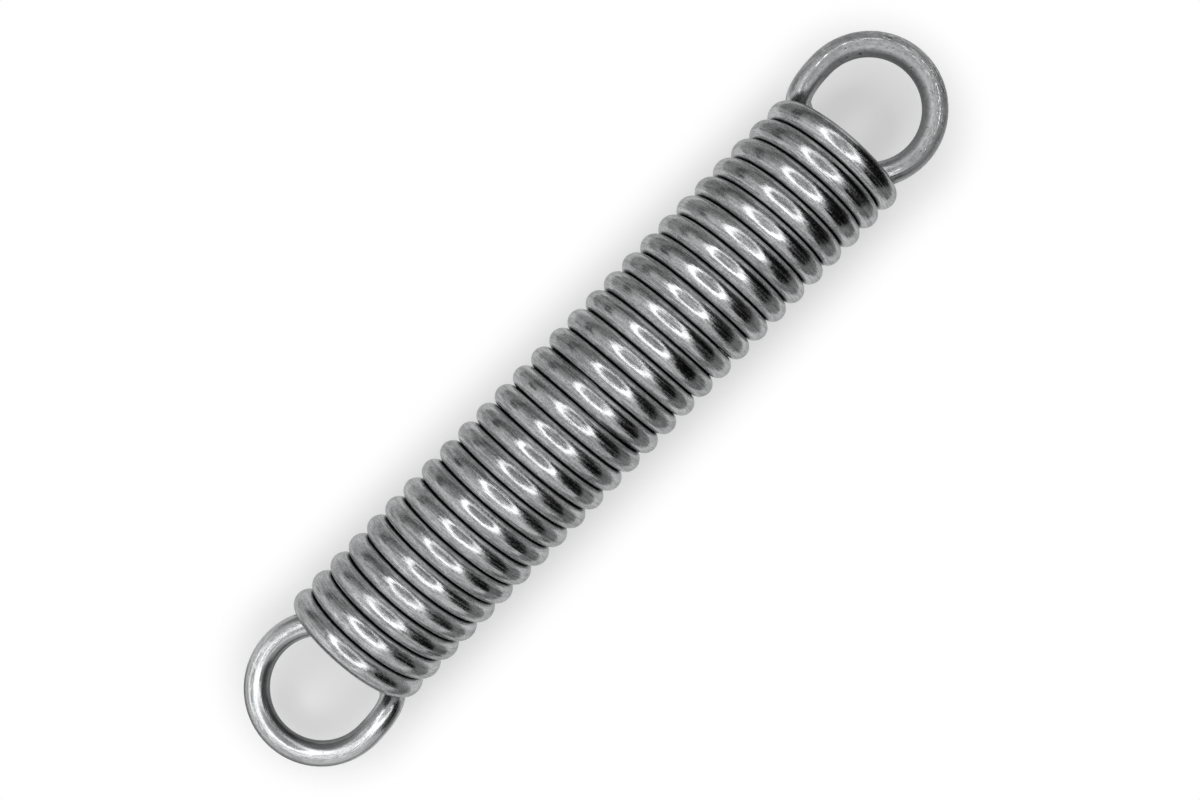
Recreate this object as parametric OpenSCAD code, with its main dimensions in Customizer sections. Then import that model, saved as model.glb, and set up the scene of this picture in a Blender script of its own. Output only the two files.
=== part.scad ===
// Extension spring, close wound from round spring steel wire, with a full loop over centre at each end.
// One piece of wire. The coil lies along X with its middle at the origin, and both loops lie level.

/* [Wire] */
// Diameter of the wire
wire_d = 4; // [3:0.05:5]

/* [Coil] */
// Diameter over the outside of the coil
coil_od = 23.8; // [20:0.1:30]
// Number of turns from the side where one loop lifts off to the side where the other does
turns = 27.5; // [8.5:1:28.5]
// Clearance from one turn to the next
turn_gap = 0.02; // [0.01:0.01:0.5]

/* [Loops] */
// Diameter over the outside of each loop
loop_od = 24.2; // [22:0.1:26]
// How far each loop stands out past the last turn, measured over the wire
loop_reach = 16.2; // [14:0.1:24]
// How far each loop sits to the side where it lifts off the coil
loop_shift = 0.9; // [0:0.05:1.5]
// Angle round the coil over which the last turn bends up into the loop
lift_angle = 20; // [12:1:30]
// Clearance from the cut end of each loop to the last turn
end_gap = 0.3; // [0.2:0.05:1]

/* [Facets] */
// Number of flats round the wire
wire_sides = 10; // [6:4:10]
// Number of straight steps in each turn of the coil
turn_steps = 18; // [10:4:18]
// Number of straight steps where the last turn bends into the loop
lift_steps = 7; // [4:1:9]
// Number of straight steps in each loop
loop_steps = 18; // [12:1:20]

/* [Hidden] */

wire_r = wire_d / 2;
coil_r = coil_od / 2 - wire_r;
pitch = wire_d + turn_gap;
side_x = turns * pitch / 2;

loop_r = loop_od / 2 - wire_r;
loop_x = side_x + wire_r + loop_reach - loop_od / 2;

// The coil is counted in degrees from its middle turn, and it is the same from both ends
end_turn = turns * 180;
lift_from = end_turn - lift_angle;
turn_step = 360 / turn_steps;

// Share of the way from coil to loop that is drawn straight at each end of the bend
lift_pull = 0.36;
leg_pull = 0.76;

// The free end of the loop is cut flat beside the last turn, square to the coil. A long loop ends
// further out, where it still runs steeply enough toward the coil for a flat cut.
last_turn_face = side_x - pitch / 2 + wire_r;
steepest_cut = 0.62;
cut_share = max(-steepest_cut, (last_turn_face + end_gap - loop_x) / loop_r);
cut_x = loop_x + loop_r * cut_share;
loop_start = 90;
loop_stop = -acos(cut_share);

// Shapes with straight sides that hold as much as the round ones
function even_r(r, sides) = r * sqrt(2 * PI / (sides * sin(360 / sides)));
ring_r = even_r(wire_r, wire_sides);
turn_r = even_r(coil_r, turn_steps);

function unit(a) = a / norm(a);
function roll(a, turn) =
    [a[0], a[1] * cos(turn) - a[2] * sin(turn), a[1] * sin(turn) + a[2] * cos(turn)];

// A station is the middle of the wire, the way it runs, and the way out from the bend it follows
function coil_station(turn, r) = [
    [turn / 360 * pitch, r * cos(turn + 90), r * sin(turn + 90)],
    unit([pitch / (2 * PI), -r * sin(turn + 90), r * cos(turn + 90)]),
    [0, cos(turn + 90), sin(turn + 90)]
];

// The loop, level and to the +X side of the coil, for an end turn that comes up on the +Y side
function loop_station(angle) = [
    [loop_x + loop_r * cos(angle), loop_shift + loop_r * sin(angle), 0],
    [sin(angle), -cos(angle), 0],
    [cos(angle), sin(angle), 0]
];

// The bend is a smooth curve from the coil to the loop that keeps the direction of both
lift_start = [
    [side_x - lift_angle / 360 * pitch, coil_r * cos(lift_angle), -coil_r * sin(lift_angle)],
    unit([pitch / (2 * PI), coil_r * sin(lift_angle), coil_r * cos(lift_angle)]),
    [0, cos(lift_angle), -sin(lift_angle)]
];
lift_stop = loop_station(loop_start);
lift_span = lift_stop[0][0] - lift_start[0][0];
lift_curve = [
    lift_start[0],
    lift_start[0] + lift_start[1] * lift_span * lift_pull,
    lift_stop[0] - lift_stop[1] * lift_span * leg_pull,
    lift_stop[0]
];
function lift_station(t) = [
    pow(1 - t, 3) * lift_curve[0] + 3 * pow(1 - t, 2) * t * lift_curve[1]
        + 3 * (1 - t) * t * t * lift_curve[2] + pow(t, 3) * lift_curve[3],
    unit(pow(1 - t, 2) * (lift_curve[1] - lift_curve[0])
        + 2 * (1 - t) * t * (lift_curve[2] - lift_curve[1]) + t * t * (lift_curve[3] - lift_curve[2])),
    (1 - t) * lift_start[2] + t * lift_stop[2]
];

// The hook is the bend and the loop, turned to where the last turn ends
hook_turn = end_turn + 90;
function turned(station) = [for (part = station) roll(part, hook_turn)];
hook = [
    for (i = [1:lift_steps]) turned(lift_station(i / lift_steps)),
    for (i = [1:loop_steps]) turned(loop_station(loop_start + (loop_stop - loop_start) * i / loop_steps))
];

// The stations inside the coil keep in step with the middle turn, so that every turn is alike
inner_half = floor((lift_from - turn_step * 0.9) / turn_step);
coil = [
    coil_station(-lift_from, coil_r),
    for (i = [-inner_half - 1:inner_half]) coil_station((i + 0.5) * turn_step, turn_r),
    coil_station(lift_from, coil_r)
];

// The other end is the same hook turned half round the Z axis, and it is run backwards
function half_round(a) = [-a[0], -a[1], a[2]];
far_hook = [for (i = [len(hook) - 1:-1:0])
    [half_round(hook[i][0]), -half_round(hook[i][1]), half_round(hook[i][2])]];

wire = concat(far_hook, coil, hook);

function ring(station) =
    let (
        out = unit(station[2] - station[1] * (station[1] * station[2])),
        across = cross(station[1], out),
        first = wire_sides % 4 == 0 ? 180 / wire_sides : 0
    )
    [for (k = [0:wire_sides - 1])
        station[0] + ring_r * (out * cos(first + k * 360 / wire_sides)
            + across * sin(first + k * 360 / wire_sides))];

// The last ring slides along the wire until all of it lies in the plane of the cut
function cut_ring(station, x) = [for (p = ring(station)) p + station[1] * ((x - p[0]) / station[1][0])];

module extension_spring() {
    last = len(wire) - 1;
    points = [
        each cut_ring(wire[0], -cut_x),
        for (i = [1:last - 1]) each ring(wire[i]),
        each cut_ring(wire[last], cut_x)
    ];
    walls = [for (i = [0:last - 1]) for (k = [0:wire_sides - 1])
        let (
            a = i * wire_sides + k,
            b = i * wire_sides + (k + 1) % wire_sides,
            c = a + wire_sides,
            d = b + wire_sides
        )
        each [[a, c, d], [a, d, b]]];
    near_end = [for (k = [1:wire_sides - 2]) [0, k, k + 1]];
    far_end = [for (k = [1:wire_sides - 2])
        [last * wire_sides, last * wire_sides + k + 1, last * wire_sides + k]];
    color("#8e9091") polyhedron(points, concat(walls, near_end, far_end), convexity = 10);
}

extension_spring();
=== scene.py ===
import math
import bpy
import bmesh
from mathutils import Matrix, Vector


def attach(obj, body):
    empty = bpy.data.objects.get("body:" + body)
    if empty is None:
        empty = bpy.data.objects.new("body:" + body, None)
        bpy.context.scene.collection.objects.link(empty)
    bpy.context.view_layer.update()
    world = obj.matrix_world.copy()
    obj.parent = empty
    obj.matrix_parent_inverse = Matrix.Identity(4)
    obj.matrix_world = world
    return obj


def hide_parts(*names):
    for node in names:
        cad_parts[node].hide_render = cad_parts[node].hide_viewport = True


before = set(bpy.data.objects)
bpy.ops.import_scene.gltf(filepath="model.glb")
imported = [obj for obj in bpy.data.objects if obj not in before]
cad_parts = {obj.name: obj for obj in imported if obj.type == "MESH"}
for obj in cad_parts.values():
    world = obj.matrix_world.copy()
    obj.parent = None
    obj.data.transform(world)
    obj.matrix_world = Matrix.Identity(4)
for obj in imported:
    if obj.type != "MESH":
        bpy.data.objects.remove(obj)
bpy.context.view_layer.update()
print("frame loaded")

mm = 0.001

# Settings of the Math nodes that come up often
plus, minus, times = {"operation": "ADD"}, {"operation": "SUBTRACT"}, {"operation": "MULTIPLY"}
unsigned, larger, sign = {"operation": "ABSOLUTE"}, {"operation": "MAXIMUM"}, {"operation": "SIGN"}


def hexToLinear(code):
    # sRGB hex to the linear values that a shader wants
    channels = [int(code[place:place + 2], 16) / 255 for place in (1, 3, 5)]
    return [c / 12.92 if c <= 0.04045 else ((c + 0.055) / 1.055) ** 2.4 for c in channels] + [1.0]


def addNode(tree, kind, settings, *feeds):
    # Settings are node properties or, by name or number, inputs, and feeds fill the inputs in order. An
    # input takes a plain value or another node's output. The node's own outputs come back.
    node = tree.nodes.new(kind)
    for name, value in [*settings.items(), *enumerate(feeds)]:
        if isinstance(value, bpy.types.NodeSocket):
            tree.links.new(value, node.inputs[name])
        elif isinstance(name, int) or name in node.inputs:
            node.inputs[name].default_value = value
        else:
            setattr(node, name, value)
    return node.outputs


# The spring is one length of wire. Geometry Nodes draw it from the same sizes as the solid.
wireSpring = {
    "wire": 4.0 * mm,
    "coil": 23.8 * mm,          # over the outside
    "turns": 27.5,
    "turnGap": 0.02 * mm,
    "loop": 24.2 * mm,          # over the outside
    "loopReach": 16.2 * mm,     # past the last turn, over the wire
    "loopShift": 0.9 * mm,      # to the side where the loop lifts off
    "liftAngle": 20.0,          # degrees of the last turn that bend up
    "liftPull": 0.36,           # share of the bend that runs on from the coil
    "legPull": 0.76,            # and that runs on from the loop
    "endGap": 0.3 * mm,         # from the last turn to the flat cut of the free end
    "pastCut": 0.03,            # radians by which the wire is first drawn past that cut
    "sides": 28,                # flats round the wire
    "turnSteps": 60,            # steps in each turn, and in each bend and loop
    "bendSteps": 16,
    "loopSteps": 48,
    "rim": 0.22 * mm,           # the sheared rim of each end, rubbed round
    "rimSteps": 3,
}
wireRadius = wireSpring["wire"] / 2
coilRadius = wireSpring["coil"] / 2 - wireRadius
loopRadius = wireSpring["loop"] / 2 - wireRadius
pitch = wireSpring["wire"] + wireSpring["turnGap"]
coilEnd = wireSpring["turns"] * pitch / 2
loopMiddle = coilEnd + wireRadius + wireSpring["loopReach"] - wireSpring["loop"] / 2
cutPlace = coilEnd - pitch / 2 + wireRadius + wireSpring["endGap"]


def springInputs(material):
    # what the node tree takes: the four guide points of the bend and the angles follow from the sizes above
    lift = math.radians(wireSpring["liftAngle"])
    rise = pitch / (2 * math.pi)
    bendStart = Vector((coilEnd - lift * rise, coilRadius * math.cos(lift), -coilRadius * math.sin(lift)))
    coilWay = Vector((rise, coilRadius * math.sin(lift), coilRadius * math.cos(lift))).normalized()
    loopTop = Vector((loopMiddle, wireSpring["loopShift"] + loopRadius, 0))
    reach = loopTop.x - bendStart.x
    cutTurn = math.acos((cutPlace - loopMiddle) / (loopRadius - wireRadius))
    return {
        "Wire Radius": wireRadius,
        "Wire Sides": wireSpring["sides"],
        "Coil Radius": coilRadius,
        "Coil Rise": rise,              # along the coil, for each radian
        "Coil Turn": wireSpring["turns"] * math.pi - lift,
        "Bend Start": tuple(bendStart),
        "Bend Guide": tuple(bendStart + coilWay * reach * wireSpring["liftPull"]),
        "Leg Guide": tuple(loopTop - Vector((reach * wireSpring["legPull"], 0, 0))),
        "Loop Top": tuple(loopTop),
        "Loop Middle": (loopMiddle, wireSpring["loopShift"], 0.0),
        "Loop Radius": loopRadius,
        "Loop Stop": -cutTurn - wireSpring["pastCut"],
        "Material": material,
    }


def makeWireTree(inputs):
    tree = bpy.data.node_groups.new("springWire", "GeometryNodeTree")
    kinds = {int: "NodeSocketInt", float: "NodeSocketFloat", tuple: "NodeSocketVector",
             bpy.types.Material: "NodeSocketMaterial"}
    for name, value in inputs.items():
        tree.interface.new_socket(name, in_out="INPUT", socket_type=kinds[type(value)]).default_value = value
    tree.interface.new_socket("Geometry", in_out="OUTPUT", socket_type="NodeSocketGeometry")
    sizes = addNode(tree, "NodeGroupInput", {})

    # stations are counted from the middle of the coil, and both halves are alike
    coilSteps = round(wireSpring["turns"] * wireSpring["turnSteps"] / 2)
    bendSteps = coilSteps + wireSpring["bendSteps"]
    allSteps = bendSteps + wireSpring["loopSteps"]
    index = addNode(tree, "GeometryNodeInputIndex", {})[0]
    place = addNode(tree, "ShaderNodeMath", minus, index, allSteps)[0]
    away = addNode(tree, "ShaderNodeMath", unsigned, place)[0]

    # coil: a point over the axis is turned round it while it moves along
    turn = addNode(tree, "ShaderNodeMapRange", {}, away, 0.0, coilSteps, 0.0, sizes["Coil Turn"])[0]
    along = addNode(tree, "ShaderNodeMath", times, turn, sizes["Coil Rise"])[0]
    onCoil = addNode(tree, "ShaderNodeCombineXYZ", {}, along, 0.0, sizes["Coil Radius"])[0]
    onCoil = addNode(tree, "ShaderNodeVectorRotate",
                     {"rotation_type": "X_AXIS", "Vector": onCoil, "Angle": turn})[0]

    # bend: each round blends every guide point with the next, until one point is left
    share = addNode(tree, "ShaderNodeMapRange", {}, away, coilSteps, bendSteps)[0]
    guides = [sizes[name] for name in ("Bend Start", "Bend Guide", "Leg Guide", "Loop Top")]
    while len(guides) > 1:
        guides = [addNode(tree, "ShaderNodeMix", {"data_type": "VECTOR", 0: share, 4: first, 5: second})[1]
                  for first, second in zip(guides, guides[1:])]
    onBend = guides[0]

    # loop: a spoke turns from its top round the tip, and on until the inside of the wire has passed the cut
    turn = addNode(tree, "ShaderNodeMapRange", {},
                   away, bendSteps, allSteps, math.pi / 2, sizes["Loop Stop"])[0]
    spoke = addNode(tree, "ShaderNodeCombineXYZ", {}, sizes["Loop Radius"])[0]
    spoke = addNode(tree, "ShaderNodeVectorRotate",
                    {"rotation_type": "Z_AXIS", "Vector": spoke, "Angle": turn})[0]
    onLoop = addNode(tree, "ShaderNodeVectorMath", plus, sizes["Loop Middle"], spoke)[0]

    # the three follow each other, and the other half is the same one turned half round the Z axis
    pastCoil = addNode(tree, "ShaderNodeMath", {"operation": "GREATER_THAN"}, away, coilSteps + 0.5)[0]
    pastBend = addNode(tree, "ShaderNodeMath", {"operation": "GREATER_THAN"}, away, bendSteps + 0.5)[0]
    station = addNode(tree, "GeometryNodeSwitch", {"input_type": "VECTOR"}, pastCoil, onCoil, onBend)[0]
    station = addNode(tree, "GeometryNodeSwitch", {"input_type": "VECTOR"}, pastBend, station, onLoop)[0]
    half = addNode(tree, "ShaderNodeMath", sign, place)[0]
    half = addNode(tree, "ShaderNodeCombineXYZ", {}, half, half, 1.0)[0]
    station = addNode(tree, "ShaderNodeVectorMath", times, station, half)[0]
    line = addNode(tree, "GeometryNodeMeshLine", {"Count": 2 * allSteps + 1})[0]
    line = addNode(tree, "GeometryNodeSetPosition", {"Geometry": line, "Position": station})[0]
    wire = addNode(tree, "GeometryNodeMeshToCurve", {}, line)[0]

    # the steel goes by three things: the middle of the wire and, in mm, the way along it and round it
    place = addNode(tree, "GeometryNodeInputPosition", {})[0]
    wire = addNode(tree, "GeometryNodeStoreNamedAttribute", {
        "data_type": "FLOAT_VECTOR", "Name": "wireMiddle", "Geometry": wire, "Value": place})[0]
    length = addNode(tree, "GeometryNodeSplineParameter", {})["Length"]
    length = addNode(tree, "ShaderNodeMath", times, length, 1 / mm)[0]
    wire = addNode(tree, "GeometryNodeStoreNamedAttribute", {
        "data_type": "FLOAT", "Name": "wireAlong", "Geometry": wire, "Value": length})[0]
    ring = addNode(tree, "GeometryNodeCurvePrimitiveCircle", {
        "Resolution": sizes["Wire Sides"], "Radius": sizes["Wire Radius"]})[0]
    around = addNode(tree, "ShaderNodeVectorMath", {
        "operation": "SCALE", "Vector": place, "Scale": 1 / mm})[0]
    ring = addNode(tree, "GeometryNodeStoreNamedAttribute", {
        "data_type": "FLOAT_VECTOR", "Name": "wireRound", "Geometry": ring, "Value": around})[0]

    tube = addNode(tree, "GeometryNodeCurveToMesh", {
        "Curve": wire, "Profile Curve": ring, "Fill Caps": True})[0]
    tube = addNode(tree, "GeometryNodeSetShadeSmooth", {}, tube)[0]
    tube = addNode(tree, "GeometryNodeRealizeInstances", {}, tube)[0]
    tube = addNode(tree, "GeometryNodeSetMaterial", {"Geometry": tube, "Material": sizes["Material"]})[0]
    addNode(tree, "NodeGroupOutput", {}, tube)
    return tree


# Drawn spring steel wire: a neutral grey, half-glossy metal. The die leaves fine marks along the wire,
# which break the edge of every reflection into streaks, and winding rubs small dull patches on it. The
# pale, matt coat from drawing stays on the sides of the turns, and the groove where they meet is painted
# near black as painted shade. The tool that bends the loops leaves the one at -X satin and the one at +X
# matt and speckled, with broken scratches, a rubbed line and small pits, and both of them darker where it
# held; the inside of both loops is painted darker as painted shade.
drawnSteel = {
    "clean": "#d2d3d4",
    "dull": "#939495",
    "edge": 0.58,                           # share of light kept where the surface turns away
    "roughness": (0.11, 0.35),              # in the marks and between them
}
turnSide = {
    "coat": (0.39, 0.598),                  # share of the matt coat, in its streaks
    "coatFrom": (1.0 * mm, 1.6 * mm),       # to the side of the wire's middle
    # painted shade: the groove between the turns is coloured near black
    "paintedGrooveShade": "#141414",
    "paintedGrooveShadeFrom": (1.72 * mm, 1.88 * mm),
    "bareFrom": 1.2 * mm,                   # length over which the outer side of the last turn turns bare
    "endFade": 0.3 * mm,                    # before and past the coil's end, where both stop
}
loopSkin = {
    "nearFrom": (0.0, 5.0 * mm),            # past the coil's end, where the skin of the loop at -X sets in
    "farFrom": (-1.0 * mm, 5.0 * mm),       # and of the one at +X
    "satin": "#d2d3d4",
    "satinTint": 0.4,                       # share of its colour
    "satinCoat": 0.18,                      # share of the matt coat
    "satinRough": (0.12, 0.28),             # in the streaks and between them
    "matt": "#a6a7a8",
    "mattTint": (0.9, 0.4),                 # between the scuffs and in them
    "mattCoat": 0.42,
    "mattRough": 0.46,
    "roughShare": 0.85,                     # share of the roughness of both that is their own
    # painted shade: the inner side of both loops is coloured darker
    "inside": "#505152",
    "insideTint": 0.75,
    "nearInside": (-0.3 * mm, -1.9 * mm),   # outward from the wire's middle, so these lie inward
    "farInside": (-0.9 * mm, -2.1 * mm),
}
loopWear = {
    "nearShare": 0.35,                      # what the loop at -X has of it
    "scratch": "#f0f0f0",
    "scratchRough": 0.18,
    "scratchFrom": (-0.6 * mm, 0.3 * mm),   # outward from the wire's middle
    "rubbed": (0.36 * mm, 0.14 * mm),       # middle and half width of the rubbed line
    "dark": "#5c5d5e",                      # in pits, specks and the smear where the tool held the wire
    "specks": 0.4,                          # share of dark in a speck
    "smear": (0.25, 0.85),                  # and in the smear, between its streaks and in them
    "held": (27.0, 1.05 * mm),              # the smear's middle, in degrees round the loop and outward
    "heldLength": (1.9 * mm, 0.5 * mm),     # from there to where it ends, and to where it is full
    "heldWidth": (0.5 * mm, 0.1 * mm),
}

# Patterns laid along the wire: the size of a grain in mm, how many times longer it is along the wire, how
# much fine detail it has, and a shift that sets it apart from the others
wirePatterns = {
    "marks": (0.30, 10.0 / 0.30, 3.0, 0.0),     # from the die, 0.3 mm apart and 10 mm long
    "broadMarks": (0.80, 22.0, 2.0, 11.0),
    "grain": (0.24, 1.5, 2.0, 23.0),            # coarser than the real pickled skin, so that it shows
    "patches": (2.20, 3.0, 3.0, 37.0),
    "scuffs": (0.50, 4.0, 4.0, 53.0),
    "scratches": (0.22, 7.0, 2.0, 71.0),
    "dashes": (0.34, 4.0, 1.0, 83.0),
    "pits": (0.60, 1.6, 2.0, 89.0),
    "specks": (0.42, 1.4, 3.0, 97.0),
}
detailShare = 0.6                               # of each finer round of detail in the one before
# Blends of two patterns: the share of the second, and the names of both
patternBlends = {
    "lines": (0.40, "marks", "dashes"),
    "streaks": (0.35, "lines", "broadMarks"),
    "dullness": (0.60, "patches", "grain"),
    "tone": (0.35, "streaks", "dullness"),
    "gloss": (0.35, "marks", "grain"),
    "satinGloss": (0.40, "marks", "broadMarks"),
    "coatStreaks": (0.50, "marks", "dashes"),
    "smear": (0.50, "marks", "scuffs"),
}
# The values of a pattern at which what it draws starts to show, and shows in full
patternSpans = {
    "clean": (0.42, 0.58),
    "gloss": (0.38, 0.62),
    "satinGloss": (0.40, 0.60),
    "coatStreaks": (0.40, 0.60),
    "scuffs": (0.30, 0.60),
    "scratches": (0.56, 0.62),
    "scratchedPatches": (0.42, 0.50),
    "rubbedDashes": (0.48, 0.55),
    "rubbedStretches": (0.40, 0.52),
    "pits": (0.33, 0.29),
    "specks": (0.50, 0.32),
    "smear": (0.38, 0.52),
}
# How strongly a pattern bends the light, and how high it stands in mm
patternRelief = {
    "grain": (0.45, 0.02),
    "marks": (0.80, 0.04),
    "broadMarks": (0.40, 0.05),
    "wear": (0.60, 0.06),                       # scratches and pits, which are sunk
    "specks": (0.60, 0.05),
}
satinGrain = 0.05                               # strength of the grain on the satin loop


def makeDrawnSteel():
    material = bpy.data.materials.new("drawnSpringSteel")
    material.use_nodes = True
    tree = material.node_tree
    tree.nodes.clear()
    along = addNode(tree, "ShaderNodeAttribute", {"attribute_name": "wireAlong"})["Fac"]
    around = addNode(tree, "ShaderNodeAttribute", {"attribute_name": "wireRound"})["Vector"]
    around = addNode(tree, "ShaderNodeSeparateXYZ", {}, around)
    middle = addNode(tree, "ShaderNodeAttribute", {"attribute_name": "wireMiddle"})["Vector"]
    middle = addNode(tree, "ShaderNodeSeparateXYZ", {}, middle)
    place = addNode(tree, "ShaderNodeTexCoord", {})["Object"]
    place = addNode(tree, "ShaderNodeSeparateXYZ", {}, place)

    pattern = {}
    for name, (size, stretch, detail, shift) in wirePatterns.items():
        # the wire laid out straight, with its length squeezed so that the pattern runs along it
        squeezed = addNode(tree, "ShaderNodeMath", {"operation": "DIVIDE"}, along, stretch)[0]
        laid = addNode(tree, "ShaderNodeCombineXYZ", {}, around[0], around[1], squeezed)[0]
        laid = addNode(tree, "ShaderNodeMapping", {"Location": (shift, shift, shift)}, laid)[0]
        pattern[name] = addNode(tree, "ShaderNodeTexNoise", {
            "Vector": laid, "Scale": 1 / size, "Detail": detail, "Roughness": detailShare})["Fac"]
    for name, (share, first, second) in patternBlends.items():
        pattern[name] = addNode(tree, "ShaderNodeMix", {0: share, 2: pattern[first], 3: pattern[second]})[0]

    # Below, a share that is the last value of a Map Range multiplies it.
    # The coat and the painted shade of the groove lie where a turn has a neighbour, so not on the outer side
    # of the last turn.
    fromMiddle = addNode(tree, "ShaderNodeMath", unsigned, middle[0])[0]
    outward = addNode(tree, "ShaderNodeMath", unsigned, place[0])[0]
    outward = addNode(tree, "ShaderNodeMath", minus, outward, fromMiddle)[0]
    lastTurn = coilEnd - pitch
    bare = addNode(tree, "ShaderNodeMath", {"operation": "GREATER_THAN"}, outward, 0.0)[0]
    bare = addNode(tree, "ShaderNodeMapRange", {},
                   fromMiddle, lastTurn - turnSide["bareFrom"], lastTurn, 0.0, bare)[0]
    covered = addNode(tree, "ShaderNodeMath", minus, 1.0, bare)[0]
    coilStop = [coilEnd + turnSide["endFade"], coilEnd - turnSide["endFade"]]
    covered = addNode(tree, "ShaderNodeMapRange", {}, fromMiddle, *coilStop, 0.0, covered)[0]
    aside = addNode(tree, "ShaderNodeMath", unsigned, outward)[0]
    coated = addNode(tree, "ShaderNodeMapRange", {},
                     pattern["coatStreaks"], *patternSpans["coatStreaks"], *turnSide["coat"])[0]
    coated = addNode(tree, "ShaderNodeMapRange", {}, aside, *turnSide["coatFrom"], 0.0, coated)[0]
    coated = addNode(tree, "ShaderNodeMath", times, coated, covered)[0]
    # painted shade: near black in the groove between neighbouring turns
    oily = addNode(tree, "ShaderNodeMapRange", {}, aside, *turnSide["paintedGrooveShadeFrom"], 0.0, covered)[0]

    # the two loops, and how far outward from the middle of the wire a spot on them lies
    nearFrom = [-coilEnd - past for past in loopSkin["nearFrom"]]
    farFrom = [coilEnd + past for past in loopSkin["farFrom"]]
    nearLoop = addNode(tree, "ShaderNodeMapRange", {}, place[0], *nearFrom)[0]
    farLoop = addNode(tree, "ShaderNodeMapRange", {}, place[0], *farFrom)[0]
    side = addNode(tree, "ShaderNodeMath", sign, place[0])[0]
    spotX = addNode(tree, "ShaderNodeMath", times, place[0], side)[0]
    spotX = addNode(tree, "ShaderNodeMath", minus, spotX, loopMiddle)[0]
    spotY = addNode(tree, "ShaderNodeMath", times, place[1], side)[0]
    spotY = addNode(tree, "ShaderNodeMath", minus, spotY, wireSpring["loopShift"])[0]
    spot = addNode(tree, "ShaderNodeCombineXYZ", {}, spotX, spotY)[0]
    outer = addNode(tree, "ShaderNodeVectorMath", {"operation": "LENGTH"}, spot)["Value"]
    outer = addNode(tree, "ShaderNodeMath", minus, outer, loopRadius)[0]
    # painted shade: the inner side of each loop, toward its middle, is darkened
    nearInside = addNode(tree, "ShaderNodeMapRange", {}, outer, *loopSkin["nearInside"], 0.0, nearLoop)[0]
    farInside = addNode(tree, "ShaderNodeMapRange", {}, outer, *loopSkin["farInside"], 0.0, farLoop)[0]
    inside = addNode(tree, "ShaderNodeMath", larger, nearInside, farInside)[0]

    # the loops' wear: broken scratches and a broken rubbed line
    worn = addNode(tree, "ShaderNodeMath", times, nearLoop, loopWear["nearShare"])[0]
    worn = addNode(tree, "ShaderNodeMath", larger, farLoop, worn)[0]
    scratched = addNode(tree, "ShaderNodeMapRange", {}, pattern["scratches"], *patternSpans["scratches"])[0]
    scratched = addNode(tree, "ShaderNodeMapRange", {},
                        pattern["patches"], *patternSpans["scratchedPatches"], 0.0, scratched)[0]
    scratched = addNode(tree, "ShaderNodeMapRange", {}, outer, *loopWear["scratchFrom"], 0.0, scratched)[0]
    rubMiddle, rubHalf = loopWear["rubbed"]
    rubbed = addNode(tree, "ShaderNodeMapRange", {}, pattern["dashes"], *patternSpans["rubbedDashes"])[0]
    rubbed = addNode(tree, "ShaderNodeMapRange", {},
                     pattern["scuffs"], *patternSpans["rubbedStretches"], 0.0, rubbed)[0]
    offLine = addNode(tree, "ShaderNodeMath", minus, outer, rubMiddle)[0]
    offLine = addNode(tree, "ShaderNodeMath", unsigned, offLine)[0]
    rubbed = addNode(tree, "ShaderNodeMapRange", {}, offLine, rubHalf, rubHalf / 2, 0.0, rubbed)[0]
    scratched = addNode(tree, "ShaderNodeMath", larger, scratched, rubbed)[0]
    scratched = addNode(tree, "ShaderNodeMath", times, scratched, worn)[0]

    # and pits, specks, and the smear where the tool held the wire
    pitted = addNode(tree, "ShaderNodeMapRange", {}, pattern["pits"], *patternSpans["pits"], 0.0, worn)[0]
    specked = addNode(tree, "ShaderNodeMapRange", {},
                      pattern["specks"], *patternSpans["specks"], 0.0, loopWear["specks"])[0]
    specked = addNode(tree, "ShaderNodeMath", times, specked, farLoop)[0]
    heldTurn, heldOut = math.radians(loopWear["held"][0]), loopWear["held"][1]
    heldSpot = Vector((math.cos(heldTurn), math.sin(heldTurn), 0)) * (loopRadius + heldOut)
    fromHeld = addNode(tree, "ShaderNodeVectorMath", {"operation": "DISTANCE"}, spot, heldSpot)["Value"]
    offHeld = addNode(tree, "ShaderNodeMath", minus, outer, heldOut)[0]
    offHeld = addNode(tree, "ShaderNodeMath", unsigned, offHeld)[0]
    smear = addNode(tree, "ShaderNodeMapRange", {},
                    pattern["smear"], *patternSpans["smear"], *loopWear["smear"])[0]
    smear = addNode(tree, "ShaderNodeMapRange", {}, offHeld, *loopWear["heldWidth"], 0.0, smear)[0]
    smear = addNode(tree, "ShaderNodeMapRange", {}, fromHeld, *loopWear["heldLength"], 0.0, smear)[0]
    smear = addNode(tree, "ShaderNodeMath", times, smear, worn)[0]
    dark = addNode(tree, "ShaderNodeMath", larger, pitted, specked)[0]
    dark = addNode(tree, "ShaderNodeMath", larger, dark, smear)[0]

    # colour: clean or dull steel, with each of these over the ones before; the darker inside of the loops and
    # the groove between the turns are painted shade
    clean = addNode(tree, "ShaderNodeMapRange", {}, pattern["tone"], *patternSpans["clean"])[0]
    satinTint = addNode(tree, "ShaderNodeMath", times, nearLoop, loopSkin["satinTint"])[0]
    mattTint = addNode(tree, "ShaderNodeMapRange", {},
                       pattern["scuffs"], *patternSpans["scuffs"], *loopSkin["mattTint"])[0]
    mattTint = addNode(tree, "ShaderNodeMath", times, mattTint, farLoop)[0]
    insideTint = addNode(tree, "ShaderNodeMath", times, inside, loopSkin["insideTint"])[0]
    steel = hexToLinear(drawnSteel["dull"])
    layers = [(clean, drawnSteel["clean"]), (satinTint, loopSkin["satin"]), (mattTint, loopSkin["matt"]),
              (insideTint, loopSkin["inside"]), (dark, loopWear["dark"]), (scratched, loopWear["scratch"]),
              (oily, turnSide["paintedGrooveShade"])]
    for share, colour in layers:
        steel = addNode(tree, "ShaderNodeMix", {
            "data_type": "RGBA", 0: share, 6: steel, 7: hexToLinear(colour)})[2]

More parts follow.
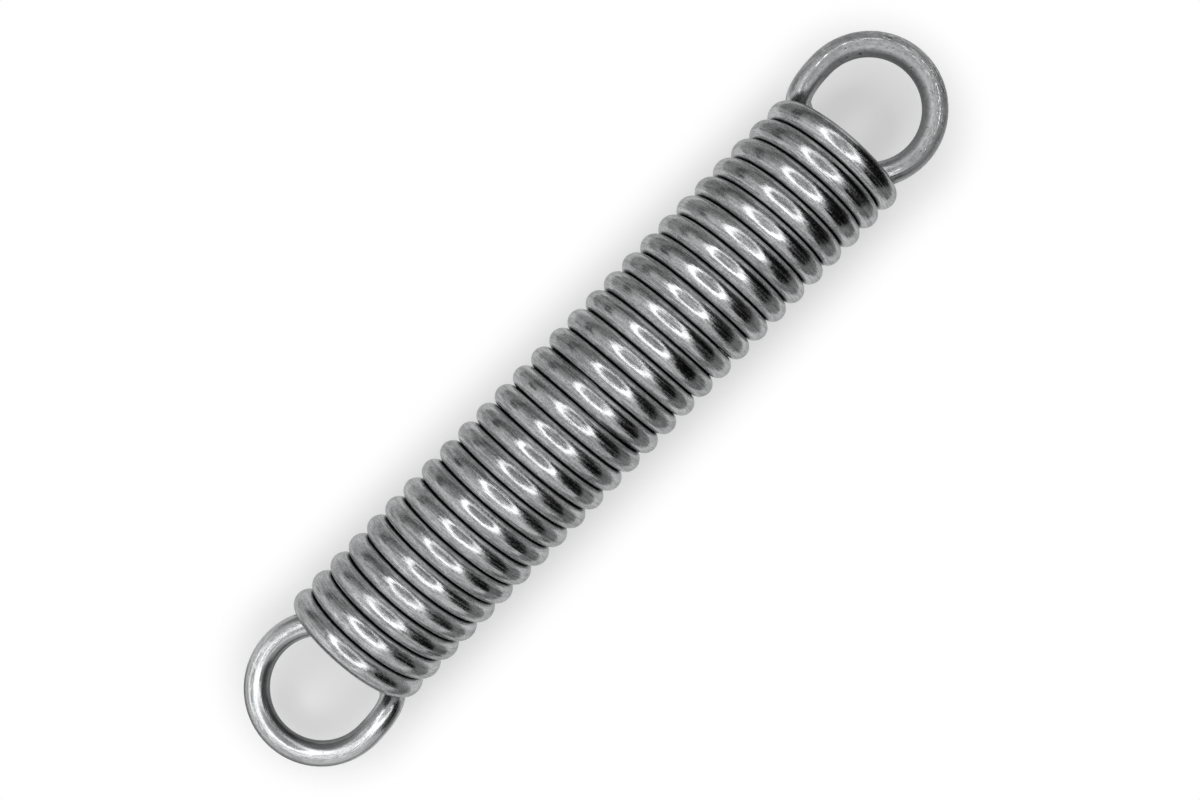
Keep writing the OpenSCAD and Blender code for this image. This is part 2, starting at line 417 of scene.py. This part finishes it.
    # gloss and the matt coat
    rough = addNode(tree, "ShaderNodeMapRange", {},
                    pattern["gloss"], *patternSpans["gloss"], *drawnSteel["roughness"])[0]
    satinRough = addNode(tree, "ShaderNodeMapRange", {},
                         pattern["satinGloss"], *patternSpans["satinGloss"], *loopSkin["satinRough"])[0]
    for loop, ownRough in ((nearLoop, satinRough), (farLoop, loopSkin["mattRough"])):
        share = addNode(tree, "ShaderNodeMath", times, loop, loopSkin["roughShare"])[0]
        rough = addNode(tree, "ShaderNodeMix", {0: share, 2: rough, 3: ownRough})[0]
    rough = addNode(tree, "ShaderNodeMix", {0: scratched, 2: rough, 3: loopWear["scratchRough"]})[0]
    satinCoat = addNode(tree, "ShaderNodeMath", times, nearLoop, loopSkin["satinCoat"])[0]
    mattCoat = addNode(tree, "ShaderNodeMath", times, farLoop, loopSkin["mattCoat"])[0]
    coat = addNode(tree, "ShaderNodeMath", larger, satinCoat, mattCoat)[0]
    coat = addNode(tree, "ShaderNodeMath", larger, coated, coat)[0]
    metallic = addNode(tree, "ShaderNodeMath", minus, 1.0, coat)[0]
    metallic = addNode(tree, "ShaderNodeMix", {0: scratched, 2: metallic, 3: 1.0})[0]

    # relief
    wear = addNode(tree, "ShaderNodeMath", larger, scratched, pitted)[0]
    heights = {**pattern, "wear": wear}
    grainFade = patternRelief["grain"][0] - satinGrain
    grainFade = addNode(tree, "ShaderNodeMath", times, nearLoop, grainFade)[0]
    grainStrength = addNode(tree, "ShaderNodeMath", minus, patternRelief["grain"][0], grainFade)[0]
    speckStrength = addNode(tree, "ShaderNodeMath", times, farLoop, patternRelief["specks"][0])[0]
    fadedStrength = {"grain": grainStrength, "specks": speckStrength}
    normal = {}
    for name, (strength, depth) in patternRelief.items():
        normal = {"Normal": addNode(tree, "ShaderNodeBump", {
            "invert": name == "wear", "Strength": fadedStrength.get(name, strength), "Distance": depth * mm,
            "Height": heights[name], **normal})[0]}

    shader = addNode(tree, "ShaderNodeBsdfPrincipled", {
        "Base Color": steel, "Metallic": metallic, "Roughness": rough,
        "Specular Tint": (drawnSteel["edge"],) * 3 + (1.0,), **normal})[0]
    addNode(tree, "ShaderNodeOutputMaterial", {}, shader)
    return material


capCorners = 8          # only the cap over a wire end has more corners than this
cutRings = 8            # rings of faces round a cap that the cut can reach


def cutEnds(work):
    # each free end is cut off flat, square to the coil, and its rim is rubbed round
    for side in (-1, 1):
        near = {face for face in work.faces
                if len(face.verts) > capCorners and face.calc_center_median().x * side > 0}
        for ring in range(cutRings):
            near |= {other for face in near for vertex in face.verts for other in vertex.link_faces}
        pieces = list(near) + list({edge for face in near for edge in face.edges})
        pieces += list({vertex for face in near for vertex in face.verts})
        bmesh.ops.bisect_plane(work, geom=pieces, plane_co=(side * cutPlace, 0, 0),
                               plane_no=(-side, 0, 0), clear_outer=True)
    bmesh.ops.holes_fill(work, edges=[edge for edge in work.edges if edge.is_boundary], sides=0)
    rims = [edge for face in work.faces if len(face.verts) > capCorners for edge in face.edges]
    bmesh.ops.bevel(work, geom=rims, offset=wireSpring["rim"], segments=wireSpring["rimSteps"], profile=0.5,
                    affect="EDGES")
    bmesh.ops.recalc_face_normals(work, faces=work.faces)


def makeSpring(material):
    inputs = springInputs(material)
    tree = makeWireTree(inputs)
    holder = bpy.data.objects.new("springHolder", bpy.data.meshes.new("springHolder"))
    bpy.context.scene.collection.objects.link(holder)
    modifier = holder.modifiers.new("springWire", "NODES")
    modifier.node_group = tree
    for item in tree.interface.items_tree:
        if item.in_out == "INPUT":
            modifier[item.identifier] = inputs[item.name]
    ready = holder.evaluated_get(bpy.context.evaluated_depsgraph_get())
    mesh = bpy.data.meshes.new_from_object(ready)
    holder.modifiers.clear()
    bpy.data.objects.remove(holder)
    mesh.name = "springWire"

    work = bmesh.new()
    work.from_mesh(mesh)
    cutEnds(work)
    work.to_mesh(mesh)
    work.free()
    for face in mesh.polygons:
        face.use_smooth = len(face.vertices) <= capCorners
    spring = bpy.data.objects.new("spring", mesh)
    bpy.context.scene.collection.objects.link(spring)
    return spring


drawnSpringSteel = makeDrawnSteel()
spring = makeSpring(drawnSpringSteel)
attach(spring, "root")
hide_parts("extension_spring")
print("spring made", len(spring.data.polygons), "faces")


# Floor: a pale matt sheet that the turns rest on. The camera and the shiny steel see it brighter than the
# lamps alone make it: a little near the spring, where its shadow stays, and fully white further off. Metres.
floorLook = {
    "size": 8.0,
    "colour": "#f1f1f1",
    "halfLine": 0.062,          # half the length of the axis that the distance is taken from
    "away": (0.010, 0.021),     # distance at which it starts to brighten, and is as bright as it gets
    "lift": (0.36, 1.0),        # share of plain white in both places
}


def makeFloor():
    mesh = bpy.data.meshes.new("floor")
    reach = floorLook["size"] / 2
    level = min(vertex.co.z for vertex in spring.data.vertices)
    corners = [(-reach, -reach, level), (reach, -reach, level), (reach, reach, level), (-reach, reach, level)]
    mesh.from_pydata(corners, [], [(0, 1, 2, 3)])
    floor = bpy.data.objects.new("floor", mesh)
    bpy.context.scene.collection.objects.link(floor)
    sheet = bpy.data.materials.new("mattSheet")
    sheet.use_nodes = True
    tree = sheet.node_tree
    tree.nodes.clear()
    ray = addNode(tree, "ShaderNodeLightPath", {})
    seen = addNode(tree, "ShaderNodeMath", larger, ray["Is Camera Ray"], ray["Is Glossy Ray"])[0]
    seen = addNode(tree, "ShaderNodeMath", larger, seen, ray["Is Transmission Ray"])[0]
    place = addNode(tree, "ShaderNodeTexCoord", {})["Object"]
    place = addNode(tree, "ShaderNodeSeparateXYZ", {}, place)
    past = addNode(tree, "ShaderNodeMath", unsigned, place[0])[0]
    past = addNode(tree, "ShaderNodeMath", minus, past, floorLook["halfLine"])[0]
    past = addNode(tree, "ShaderNodeMath", larger, past, 0.0)[0]
    away = addNode(tree, "ShaderNodeCombineXYZ", {}, past, place[1])[0]
    away = addNode(tree, "ShaderNodeVectorMath", {"operation": "LENGTH"}, away)["Value"]
    lift = addNode(tree, "ShaderNodeMapRange", {"interpolation_type": "SMOOTHSTEP"},
                   away, *floorLook["away"], *floorLook["lift"])[0]
    lift = addNode(tree, "ShaderNodeMath", times, seen, lift)[0]
    matt = addNode(tree, "ShaderNodeBsdfDiffuse", {"Color": hexToLinear(floorLook["colour"])})[0]
    white = addNode(tree, "ShaderNodeEmission", {"Color": hexToLinear("#ffffff"), "Strength": 1.0})[0]
    shader = addNode(tree, "ShaderNodeMixShader", {}, lift, matt, white)[0]
    addNode(tree, "ShaderNodeOutputMaterial", {}, shader)
    mesh.materials.append(sheet)


makeFloor()
print("floor made")

# Light: a long ring of soft lamps round the camera, in a plain room that is dimmer toward +X. Metres.
ringLight = {
    "lamps": 24,
    "reach": (0.124, 0.090),    # half its length and half its width
    "middle": 0.043,            # toward +X
    "height": 0.150,
    "width": (0.024, 0.034),    # of the lamps at its ends and along its sides
    "strength": 2.6,
    "uneven": 0.13,             # the lamps toward -X are brighter and wider by this share
    "frontShift": 0.013,        # the front of the ring sits this much further toward -X
}
room = {
    "ceiling": "#c4c4c4",
    "paleSide": "#dcdcdc",
    "dimSide": "#888888",
    "sideFade": (-0.5, 0.5),    # of the way toward +X, from the pale side to the dim one
    "topFade": (0.80, 0.92),    # of the way up, from the sides to the ceiling
}
# Cards that only a shiny surface sees, standing and lying beside the spring. The dark ones put the soft dark
# patches on the turns and take some of the white of the floor from their undersides. Two white ones hang
# over the loop at -X and draw the bright lines along it.
cardLevel = -0.0115             # just over the floor
loopCards = {
    "middle": (-0.0692, -0.0009),
    "level": 0.025,
    "steps": 16,
    "strength": (1.9, 2.4),     # of the inner one and the outer one
}


def lyingCard(left, right, front, back):
    corners = [(left, front), (left, back), (right, back), (right, front)]
    return [(x, y, cardLevel) for x, y in corners]


def standingCard(side, *tops):
    # its foot runs along X at this distance to the side, and its top edge goes through these points
    foot = [(tops[0][0], cardLevel), (tops[-1][0], cardLevel)]
    return [(x, side, z) for x, z in [*foot, *tops[::-1]]]


def loopCard(inner, outer, start, stop):
    # a flat piece of a ring, between two radii and two angles in degrees
    turns = [math.radians(start + (stop - start) * step / loopCards["steps"])
             for step in range(loopCards["steps"] + 1)]
    edge = [(outer, turn) for turn in turns] + [(inner, turn) for turn in turns[::-1]]
    x, y = loopCards["middle"]
    return [(x + radius * math.cos(turn), y + radius * math.sin(turn), loopCards["level"])
            for radius, turn in edge]


cards = {
    "front": ("#080808", 1.0, standingCard(-0.17, (-0.07, 0.132), (0.10, 0.172), (0.30, 0.30))),
    "frontCorner": ("#0a0a0a", 1.0, [(0.30, -0.17, cardLevel), (0.30, -0.02, cardLevel), (0.30, -0.02, 0.15),
                                     (0.30, -0.17, 0.30)]),
    "frontFloor": ("#8f8f8f", 1.0, lyingCard(-0.09, 0.08, -0.17, -0.03)),
    "frontFloorNear": ("#2c2c2c", 1.0, [(0.08, -0.17, cardLevel), (0.08, -0.03, cardLevel),
                                        (0.10, -0.004, cardLevel), (0.30, -0.004, cardLevel),
                                        (0.30, -0.17, cardLevel)]),
    "frontFloorFar": ("#c0c0c0", 1.0, lyingCard(-0.40, -0.09, -0.17, -0.03)),
    "sideFloor": ("#868686", 1.0, lyingCard(-0.40, -0.077, -0.03, 0.03)),
    "loopLine": ("#ffffff", loopCards["strength"][0], loopCard(0.0101, 0.0165, 80, 280)),
    "loopOuterLine": ("#ffffff", loopCards["strength"][1], loopCard(0.0300, 0.0390, 99, 158)),
    "back": ("#6e6e6e", 1.0, standingCard(0.17, (-0.09, 0.05), (0.35, 0.06))),
    "backFloor": ("#a8a8a8", 1.0, lyingCard(-0.01, 0.35, 0.03, 0.17)),
    "backFloorFar": ("#cacaca", 1.0, lyingCard(-0.40, -0.01, 0.03, 0.17)),
}


def makeRingLight():
    count = ringLight["lamps"]
    length, breadth = ringLight["reach"]
    thin, thick = ringLight["width"]
    for number in range(count):
        turn = 2 * math.pi * (number + 0.5) / count
        where = Vector((ringLight["middle"] + length * math.cos(turn), breadth * math.sin(turn),
                        ringLight["height"]))
        where.x += ringLight["frontShift"] * min(0, math.sin(turn))
        run = Vector((-length * math.sin(turn), breadth * math.cos(turn), 0))
        back = where.normalized()
        side = (run - back * run.dot(back)).normalized()
        share = 1 - ringLight["uneven"] * math.cos(turn)
        lamp = bpy.data.lights.new("ringLamp", "AREA")
        lamp.shape = "RECTANGLE"
        lamp.size = run.length * 2 * math.pi / count
        lamp.size_y = thin * share + (thick - thin) * abs(math.sin(turn))
        lamp.energy = ringLight["strength"] * share * math.pi * lamp.size * lamp.size_y
        holder = bpy.data.objects.new("ringLamp", lamp)
        facing = Matrix((side, back.cross(side), back)).transposed().to_4x4()
        holder.matrix_world = Matrix.Translation(where) @ facing
        holder.visible_camera = False
        bpy.context.scene.collection.objects.link(holder)


def makeRoom():
    world = bpy.data.worlds.new("room")
    bpy.context.scene.world = world
    world.use_nodes = True
    tree = world.node_tree
    tree.nodes.clear()
    way = addNode(tree, "ShaderNodeTexCoord", {})["Generated"]
    way = addNode(tree, "ShaderNodeSeparateXYZ", {}, way)
    soft = {"interpolation_type": "SMOOTHSTEP"}
    dimmer = addNode(tree, "ShaderNodeMapRange", soft, way[0], *room["sideFade"])[0]
    upward = addNode(tree, "ShaderNodeMapRange", soft, way[2], *room["topFade"])[0]
    walls = addNode(tree, "ShaderNodeMix", {
        "data_type": "RGBA", 0: dimmer, 6: hexToLinear(room["paleSide"]), 7: hexToLinear(room["dimSide"])})[2]
    whole = addNode(tree, "ShaderNodeMix", {
        "data_type": "RGBA", 0: upward, 6: walls, 7: hexToLinear(room["ceiling"])})[2]
    glow = addNode(tree, "ShaderNodeBackground", {"Color": whole, "Strength": 1.0})[0]
    addNode(tree, "ShaderNodeOutputWorld", {}, glow)


def makeCard(name, colour, strength, corners):
    mesh = bpy.data.meshes.new(name)
    mesh.from_pydata(corners, [], [range(len(corners))])
    paint = bpy.data.materials.new("cardPaint")
    paint.use_nodes = True
    tree = paint.node_tree
    tree.nodes.clear()
    glow = addNode(tree, "ShaderNodeEmission", {"Color": hexToLinear(colour), "Strength": strength})[0]
    addNode(tree, "ShaderNodeOutputMaterial", {}, glow)
    mesh.materials.append(paint)
    card = bpy.data.objects.new(name, mesh)
    bpy.context.scene.collection.objects.link(card)
    card.visible_camera = card.visible_diffuse = card.visible_shadow = False
    card.visible_transmission = card.visible_volume_scatter = False


makeRingLight()
makeRoom()
for name, (colour, strength, corners) in cards.items():
    makeCard(name, colour, strength, corners)
print("light set")

# Camera: looking down on the spring, level with the photograph
cameraSpot = {
    "place": (3.70 * mm, -7.46 * mm, 230 * mm),
    "sensor": 36.0,             # mm wide
    "lens": 44.79,              # mm
    "roll": 45.73,              # degrees from the spring's axis to level
    "lean": (-0.0307, 0.0110),  # from straight down, toward the picture's right and its top
    "clip": 0.01,               # metres
}


def makeCamera():
    roll = math.radians(cameraSpot["roll"])
    level = Vector((math.cos(roll), -math.sin(roll), 0))
    upward = Vector((math.sin(roll), math.cos(roll), 0))
    look = (Vector((0, 0, -1)) + cameraSpot["lean"][0] * level + cameraSpot["lean"][1] * upward).normalized()
    right = (level - look * level.dot(look)).normalized()
    turn = Matrix((right, right.cross(look), -look)).transposed().to_4x4()
    data = bpy.data.cameras.new("camera")
    data.sensor_width = cameraSpot["sensor"]
    data.lens = cameraSpot["lens"]
    data.clip_start = cameraSpot["clip"]
    camera = bpy.data.objects.new("camera", data)
    camera.matrix_world = Matrix.Translation(Vector(cameraSpot["place"])) @ turn
    bpy.context.scene.collection.objects.link(camera)
    bpy.context.scene.camera = camera


makeCamera()
bpy.context.scene.view_settings.view_transform = "Standard"
print("camera set")
